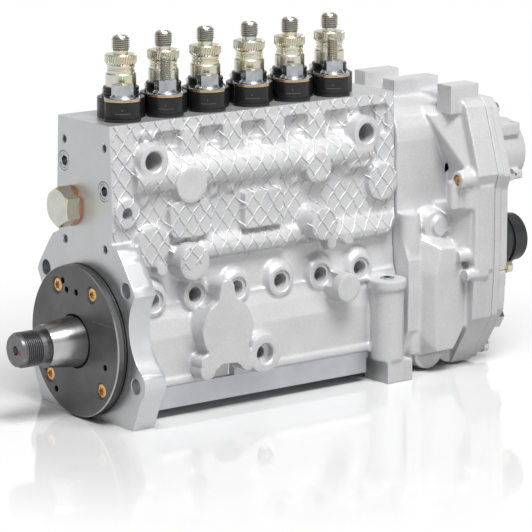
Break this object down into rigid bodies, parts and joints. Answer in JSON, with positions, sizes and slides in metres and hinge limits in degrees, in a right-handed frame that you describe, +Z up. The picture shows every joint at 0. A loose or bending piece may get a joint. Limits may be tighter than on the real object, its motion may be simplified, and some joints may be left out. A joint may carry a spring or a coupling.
{
  "type": "diesel injection pump",
  "caption": "In-line diesel injection pump: cam driven plunger elements in an aluminium housing, with an electronically actuated governor housing on its rear end.",
  "frame": {"origin": "camshaft axis at the machined front face of the drive flange", "axes": "+X along the camshaft towards the governor, +Z up along the elements, -Y the side with the tappet holes"},
  "size_m": [0.403, 0.1372, 0.2535],
  "materials": {
    "cast_aluminium": "fine blasted casting",
    "machined_steel": "ground",
    "hardened_steel": "ground and hardened",
    "phosphated_steel": "dark phosphate",
    "black_steel": "black satin",
    "zinc_steel": "yellow passivated zinc",
    "bright_zinc": "bright zinc",
    "bottom_plate": "bluish grey",
    "copper": "soft copper",
    "brass": "plain",
    "rubber": "matt",
    "black_plastic": "moulded",
    "gasket": "matt"
  },
  "bodies": {
    "case": {"pump_housing": "cast_aluminium", "bottom_cover": "bottom_plate", "bearing_end_cover": "phosphated_steel", "end_cover_screws": "brass", "rubber_seals": "rubber", "bearing_outer_races": "hardened_steel", "upper_spring_seats": "hardened_steel", "plunger_barrels": "hardened_steel", "delivery_valve_bodies": "hardened_steel", "delivery_valves_and_springs": "hardened_steel", "delivery_valve_holders": "zinc_steel", "barrel_flanges": "black_steel", "flange_shims": "zinc_steel", "flange_nuts": "bright_zinc", "flange_studs": "zinc_steel", "rack_plug": "zinc_steel", "rack_plug_washer": "copper", "socket_plugs": "bright_zinc", "rack_bushes": "brass", "governor_housing": "cast_aluminium", "case_screws": "bright_zinc", "governor_cover_gasket": "gasket", "governor_cover": "cast_aluminium", "governor_cover_bolts": "zinc_steel", "actuator_housing": "cast_aluminium", "solenoid_coil": "copper", "connector_body": "black_plastic", "connector_pins": "brass", "speed_sensor": "black_plastic", "oil_return_plug": "bright_zinc"},
    "camshaft": {"camshaft": "machined_steel", "bearing_inner_races": "hardened_steel", "speed_wheel_and_nut": "hardened_steel"},
    "bearing_rollers": {"bearing_rollers": "hardened_steel"},
    "rack": {"control_rack": "machined_steel", "rack_yoke_and_armature": "machined_steel"},
    "sleeve_1": {"control_sleeve_1": "machined_steel"},
    "tappet_1": {"tappet_1": "hardened_steel", "plunger_spring_1": "machined_steel"},
    "plunger_1": {"plunger_1": "hardened_steel"},
    "sleeve_2": {"control_sleeve_2": "machined_steel"},
    "tappet_2": {"tappet_2": "hardened_steel", "plunger_spring_2": "machined_steel"},
    "plunger_2": {"plunger_2": "hardened_steel"},
    "sleeve_3": {"control_sleeve_3": "machined_steel"},
    "tappet_3": {"tappet_3": "hardened_steel", "plunger_spring_3": "machined_steel"},
    "plunger_3": {"plunger_3": "hardened_steel"},
    "sleeve_4": {"control_sleeve_4": "machined_steel"},
    "tappet_4": {"tappet_4": "hardened_steel", "plunger_spring_4": "machined_steel"},
    "plunger_4": {"plunger_4": "hardened_steel"},
    "sleeve_5": {"control_sleeve_5": "machined_steel"},
    "tappet_5": {"tappet_5": "hardened_steel", "plunger_spring_5": "machined_steel"},
    "plunger_5": {"plunger_5": "hardened_steel"},
    "sleeve_6": {"control_sleeve_6": "machined_steel"},
    "tappet_6": {"tappet_6": "hardened_steel", "plunger_spring_6": "machined_steel"},
    "plunger_6": {"plunger_6": "hardened_steel"}
  },
  "joints": [
    {"name": "camshaft_spin", "type": "hinge", "parent": "case", "child": "camshaft", "pos_m": [0, 0, 0], "axis": [1, 0, 0], "continuous": true},
    {"name": "bearing_rollers_orbit", "type": "hinge", "parent": "case", "child": "bearing_rollers", "pos_m": [0, 0, 0], "axis": [1, 0, 0], "continuous": true},
    {"name": "rack_slide", "type": "slide", "parent": "case", "child": "rack", "axis": [1, 0, 0], "range_m": [-0.0105, 0.0105]},
    {"name": "sleeve_turn_1", "type": "hinge", "parent": "case", "child": "sleeve_1", "pos_m": [0.0302, 0, 0], "axis": [0, 0, 1], "range_deg": [-43, 43]},
    {"name": "tappet_lift_1", "type": "slide", "parent": "case", "child": "tappet_1", "axis": [0, 0, 1], "range_m": [-0.0019, 0], "deforming": ["plunger_spring_1"]},
    {"name": "plunger_turn_1", "type": "hinge", "parent": "tappet_1", "child": "plunger_1", "pos_m": [0.0302, 0, 0], "axis": [0, 0, 1], "range_deg": [-43, 43]},
    {"name": "sleeve_turn_2", "type": "hinge", "parent": "case", "child": "sleeve_2", "pos_m": [0.0647, 0, 0], "axis": [0, 0, 1], "range_deg": [-43, 43]},
    {"name": "tappet_lift_2", "type": "slide", "parent": "case", "child": "tappet_2", "axis": [0, 0, 1], "range_m": [-0.0019, 0], "deforming": ["plunger_spring_2"]},
    {"name": "plunger_turn_2", "type": "hinge", "parent": "tappet_2", "child": "plunger_2", "pos_m": [0.0647, 0, 0], "axis": [0, 0, 1], "range_deg": [-43, 43]},
    {"name": "sleeve_turn_3", "type": "hinge", "parent": "case", "child": "sleeve_3", "pos_m": [0.0992, 0, 0], "axis": [0, 0, 1], "range_deg": [-43, 43]},
    {"name": "tappet_lift_3", "type": "slide", "parent": "case", "child": "tappet_3", "axis": [0, 0, 1], "range_m": [-0.0108, 0], "deforming": ["plunger_spring_3"]},
    {"name": "plunger_turn_3", "type": "hinge", "parent": "tappet_3", "child": "plunger_3", "pos_m": [0.0992, 0, 0], "axis": [0, 0, 1], "range_deg": [-43, 43]},
    {"name": "sleeve_turn_4", "type": "hinge", "parent": "case", "child": "sleeve_4", "pos_m": [0.1361, 0, 0], "axis": [0, 0, 1], "range_deg": [-43, 43]},
    {"name": "tappet_lift_4", "type": "slide", "parent": "case", "child": "tappet_4", "axis": [0, 0, 1], "range_m": [-0.0098, 0], "deforming": ["plunger_spring_4"]},
    {"name": "plunger_turn_4", "type": "hinge", "parent": "tappet_4", "child": "plunger_4", "pos_m": [0.1361, 0, 0], "axis": [0, 0, 1], "range_deg": [-43, 43]},
    {"name": "sleeve_turn_5", "type": "hinge", "parent": "case", "child": "sleeve_5", "pos_m": [0.1706, 0, 0], "axis": [0, 0, 1], "range_deg": [-43, 43]},
    {"name": "tappet_lift_5", "type": "slide", "parent": "case", "child": "tappet_5", "axis": [0, 0, 1], "range_m": [-0.0103, 0], "deforming": ["plunger_spring_5"]},
    {"name": "plunger_turn_5", "type": "hinge", "parent": "tappet_5", "child": "plunger_5", "pos_m": [0.1706, 0, 0], "axis": [0, 0, 1], "range_deg": [-43, 43]},
    {"name": "sleeve_turn_6", "type": "hinge", "parent": "case", "child": "sleeve_6", "pos_m": [0.2051, 0, 0], "axis": [0, 0, 1], "range_deg": [-43, 43]},
    {"name": "tappet_lift_6", "type": "slide", "parent": "case", "child": "tappet_6", "axis": [0, 0, 1], "range_m": [-0.0103, 0], "deforming": ["plunger_spring_6"]},
    {"name": "plunger_turn_6", "type": "hinge", "parent": "tappet_6", "child": "plunger_6", "pos_m": [0.2051, 0, 0], "axis": [0, 0, 1], "range_deg": [-43, 43]}
  ],
  "couplings": [
    {"joint": "bearing_rollers_orbit", "follows": "camshaft_spin", "ratio": 0.4235},
    {"joint": "sleeve_turn_1", "follows": "rack_slide", "rad_per_m": -71.429},
    {"joint": "plunger_turn_1", "follows": "rack_slide", "rad_per_m": -71.429},
    {"joint": "sleeve_turn_2", "follows": "rack_slide", "rad_per_m": -71.429},
    {"joint": "plunger_turn_2", "follows": "rack_slide", "rad_per_m": -71.429},
    {"joint": "sleeve_turn_3", "follows": "rack_slide", "rad_per_m": -71.429},
    {"joint": "plunger_turn_3", "follows": "rack_slide", "rad_per_m": -71.429},
    {"joint": "sleeve_turn_4", "follows": "rack_slide", "rad_per_m": -71.429},
    {"joint": "plunger_turn_4", "follows": "rack_slide", "rad_per_m": -71.429},
    {"joint": "sleeve_turn_5", "follows": "rack_slide", "rad_per_m": -71.429},
    {"joint": "plunger_turn_5", "follows": "rack_slide", "rad_per_m": -71.429},
    {"joint": "sleeve_turn_6", "follows": "rack_slide", "rad_per_m": -71.429},
    {"joint": "plunger_turn_6", "follows": "rack_slide", "rad_per_m": -71.429}
  ]
}
